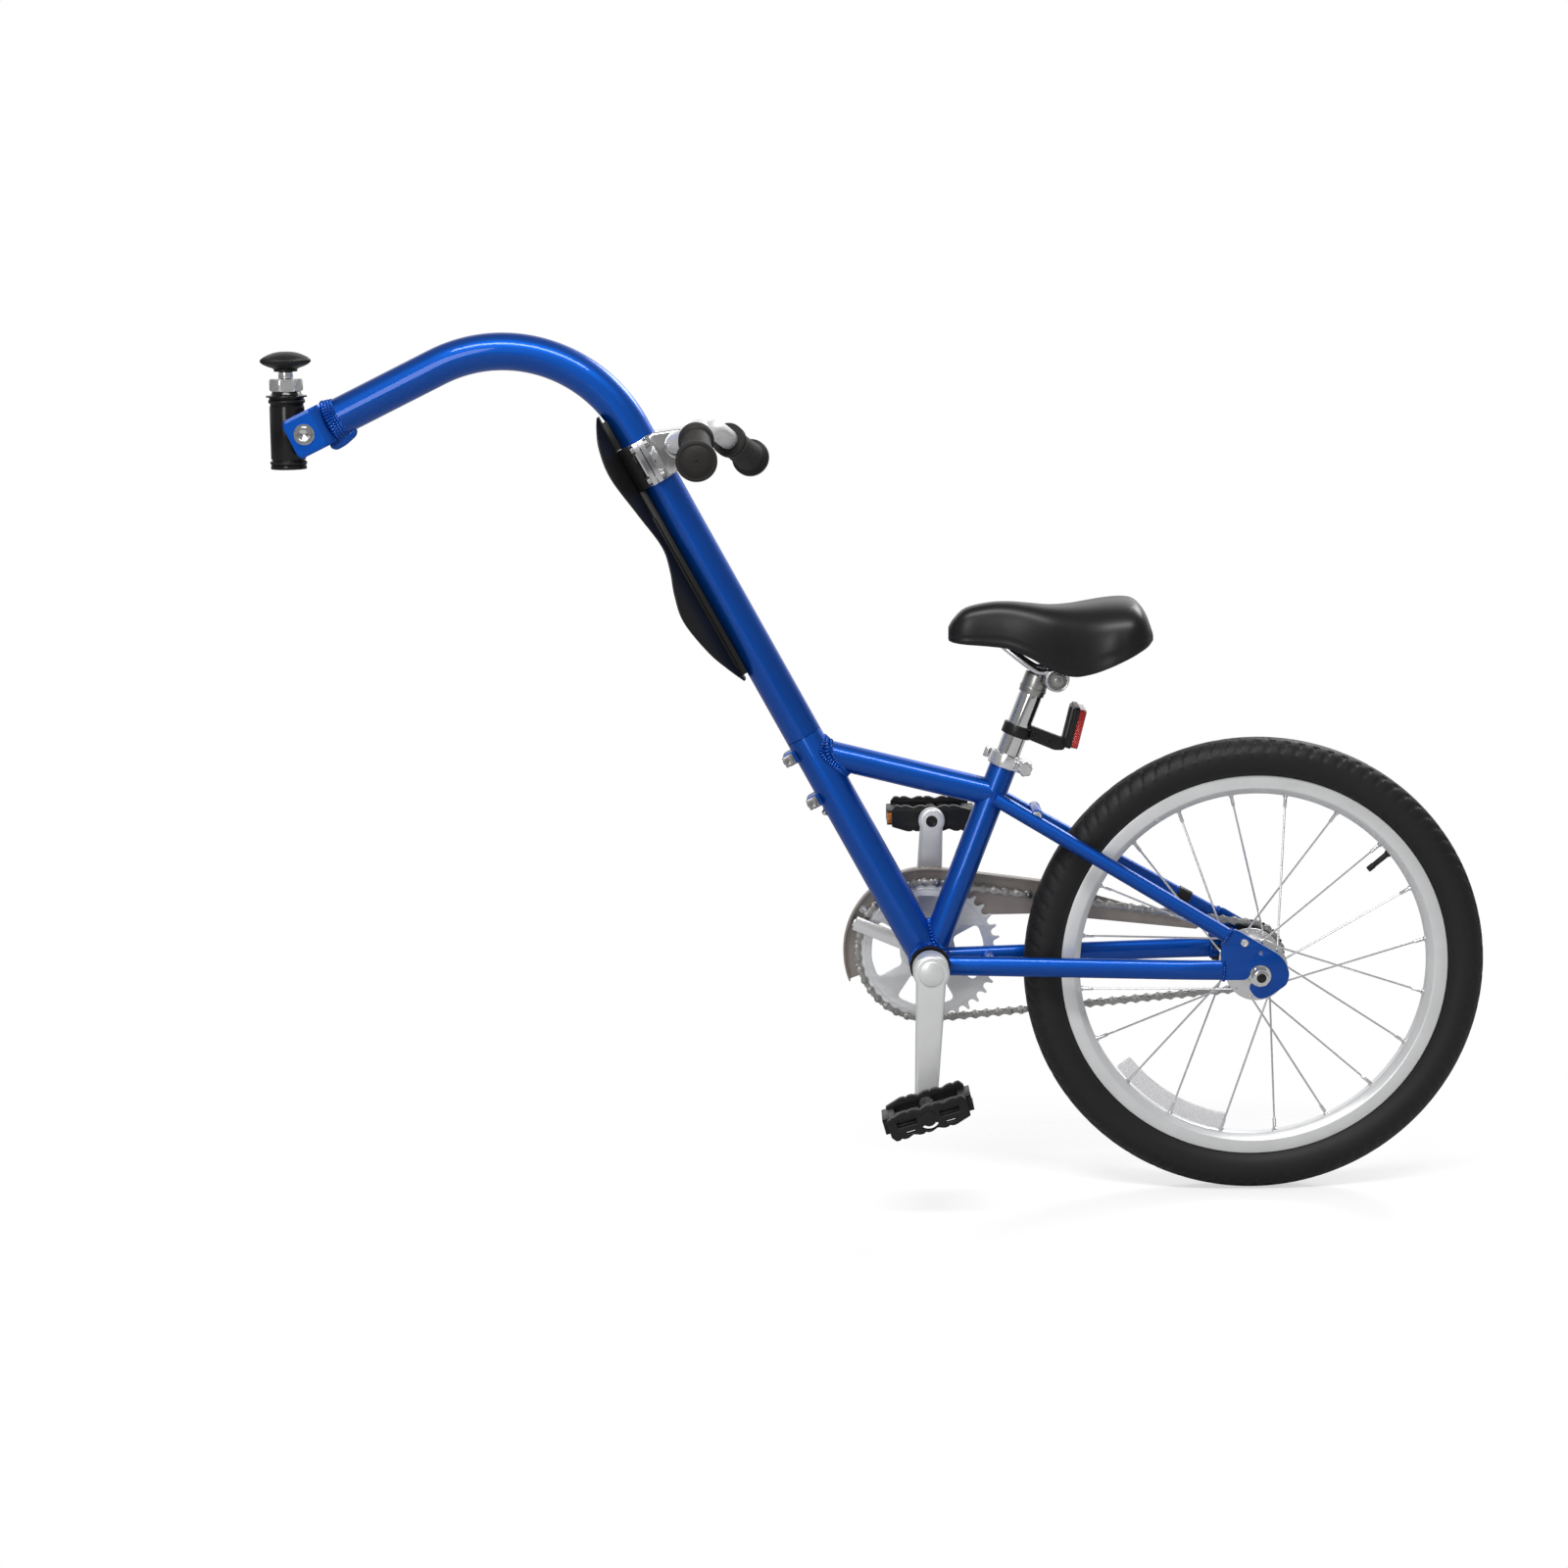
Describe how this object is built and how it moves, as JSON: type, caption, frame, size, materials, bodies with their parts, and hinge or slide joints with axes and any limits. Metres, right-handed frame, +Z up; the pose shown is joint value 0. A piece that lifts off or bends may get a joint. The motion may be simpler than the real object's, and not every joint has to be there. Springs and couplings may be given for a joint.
{
  "type": "trailer bike",
  "caption": "Child's one-wheeled trailer bike: bent drawbar on a swivelling rack hitch, small frame with saddle, handlebar, cranks and chain drive to a spoked wheel.",
  "frame": {"origin": "centre of the hitch spindle's foot face, where it stands on the towing rack", "axes": "+Z up along the hitch spindle, +X rearwards along the bike, +Y to the drive side"},
  "size_m": [1.3097, 0.4665, 0.9417],
  "materials": {
    "paint": "gloss metallic candy blue",
    "chrome": "polished",
    "silver": "satin",
    "steel": "zinc plated",
    "black_paint": "satin black",
    "black_plastic": "moulded",
    "rubber": "matt",
    "tyre": "matt with moulded tread",
    "vinyl": "smooth black vinyl",
    "smoke": "smoky translucent",
    "red_lens": "prismatic red lens",
    "clear_lens": "prismatic clear lens"
  },
  "bodies": {
    "hitch_base": {"hitch_spindle": "black_paint", "thrust_washer": "black_paint", "hitch_lock_nut": "silver"},
    "lock_sleeve": {"knob_sleeve": "silver"},
    "knob": {"hitch_knob": "black_plastic"},
    "barrel": {"hitch_barrel": "black_paint", "lower_bush": "black_plastic", "upper_bush": "black_plastic"},
    "frame": {"pivot_bolt": "steel", "drawbar_yoke": "paint", "drawbar_tube": "paint", "mudguard": "black_plastic", "bar_clamp_front": "silver", "bar_clamp_rear": "silver", "clamp_bolt_upper": "steel", "clamp_bolt_lower": "steel", "down_tube": "paint", "pinch_bolt_upper": "steel", "pinch_bolt_lower": "steel", "top_tube": "paint", "seat_tube": "paint", "bottom_bracket_shell": "paint", "bottom_bracket_cup_left": "black_plastic", "bottom_bracket_cup_right": "black_plastic", "chain_stay_left": "paint", "chain_stay_right": "paint", "seat_stay_left": "paint", "seat_stay_right": "paint", "seat_collar": "silver", "qr_skewer": "silver", "chain": "steel", "chain_guard": "smoke", "guard_bracket": "smoke", "rear_axle": "steel", "axle_nut_left": "chrome", "axle_nut_right": "chrome"},
    "button": {"snap_button": "steel"},
    "bar": {"handlebar": "chrome", "grip_left": "rubber", "grip_right": "rubber"},
    "post": {"seatpost": "chrome", "saddle_clamp": "steel", "reflector_bracket": "black_plastic", "reflector_lens": "red_lens"},
    "saddle": {"saddle_cover": "vinyl", "saddle_shell": "black_plastic", "saddle_rails": "chrome"},
    "lever": {"qr_lever": "silver"},
    "crank": {"bottom_bracket_spindle": "steel", "crank_arm_left": "silver", "crank_arm_right": "silver", "chainring": "silver"},
    "left_pedal": {"pedal_left": "black_plastic"},
    "right_pedal": {"pedal_right": "black_plastic"},
    "driver": {"sprocket": "black_paint"},
    "wheel": {"rim": "silver", "tyre": "tyre", "hub_and_spokes": "silver", "wheel_reflector": "clear_lens"}
  },
  "joints": [
    {"name": "sleeve_lift", "type": "slide", "parent": "hitch_base", "child": "lock_sleeve", "axis": [0, 0, 1], "range_m": [0, 0.003]},
    {"name": "knob_turn", "type": "hinge", "parent": "lock_sleeve", "child": "knob", "pos_m": [0, 0, 0.115], "axis": [0, 0, 1], "range_deg": [0, 720]},
    {"name": "hitch_swivel", "type": "hinge", "parent": "hitch_base", "child": "barrel", "pos_m": [0, 0, 0], "axis": [0, 0, 1], "range_deg": [-85, 85]},
    {"name": "drawbar_pitch", "type": "hinge", "parent": "barrel", "child": "frame", "pos_m": [0.021, 0, 0.038], "axis": [0, -1, 0], "range_deg": [-30, 22]},
    {"name": "button_press", "type": "slide", "parent": "frame", "child": "button", "axis": [0.8797, 0, 0.4756], "range_m": [0, 0.003], "stiffness_N_per_m": 400, "springref_m": -0.004},
    {"name": "bar_tilt", "type": "hinge", "parent": "frame", "child": "bar", "pos_m": [0.4163, 0, 0.0227], "axis": [0.1043, 0.9923, -0.0663], "range_deg": [-15, 15]},
    {"name": "seatpost_height", "type": "slide", "parent": "frame", "child": "post", "axis": [0.3567, 0, 0.9342], "range_m": [-0.019, 0.04]},
    {"name": "saddle_tilt", "type": "hinge", "parent": "post", "child": "saddle", "pos_m": [0.817, 0, -0.2328], "axis": [0, 1, 0], "range_deg": [-10, 10]},
    {"name": "lever_open", "type": "hinge", "parent": "frame", "child": "lever", "pos_m": [0.7831, 0.0183, -0.3301], "axis": [-0.3567, 0, -0.9342], "range_deg": [0, 170]},
    {"name": "crank_turn", "type": "hinge", "parent": "frame", "child": "crank", "pos_m": [0.6795, 0, -0.541], "axis": [0, 1, 0], "continuous": true, "deforming": ["chain"]},
    {"name": "left_pedal_spin", "type": "hinge", "parent": "crank", "child": "left_pedal", "pos_m": [0.6734, -0.115, -0.6809], "axis": [0, 1, 0], "continuous": true},
    {"name": "right_pedal_spin", "type": "hinge", "parent": "crank", "child": "right_pedal", "pos_m": [0.6856, 0.119, -0.4011], "axis": [0, 1, 0], "continuous": true},
    {"name": "sprocket_turn", "type": "hinge", "parent": "frame", "child": "driver", "pos_m": [1.0327, 0, -0.55], "axis": [0, 1, 0], "continuous": true},
    {"name": "wheel_spin", "type": "hinge", "parent": "frame", "child": "wheel", "pos_m": [1.0327, 0, -0.55], "axis": [0, 1, 0], "continuous": true}
  ],
  "couplings": [
    {"joint": "sprocket_turn", "follows": "crank_turn", "ratio": 2.1111}
  ]
}
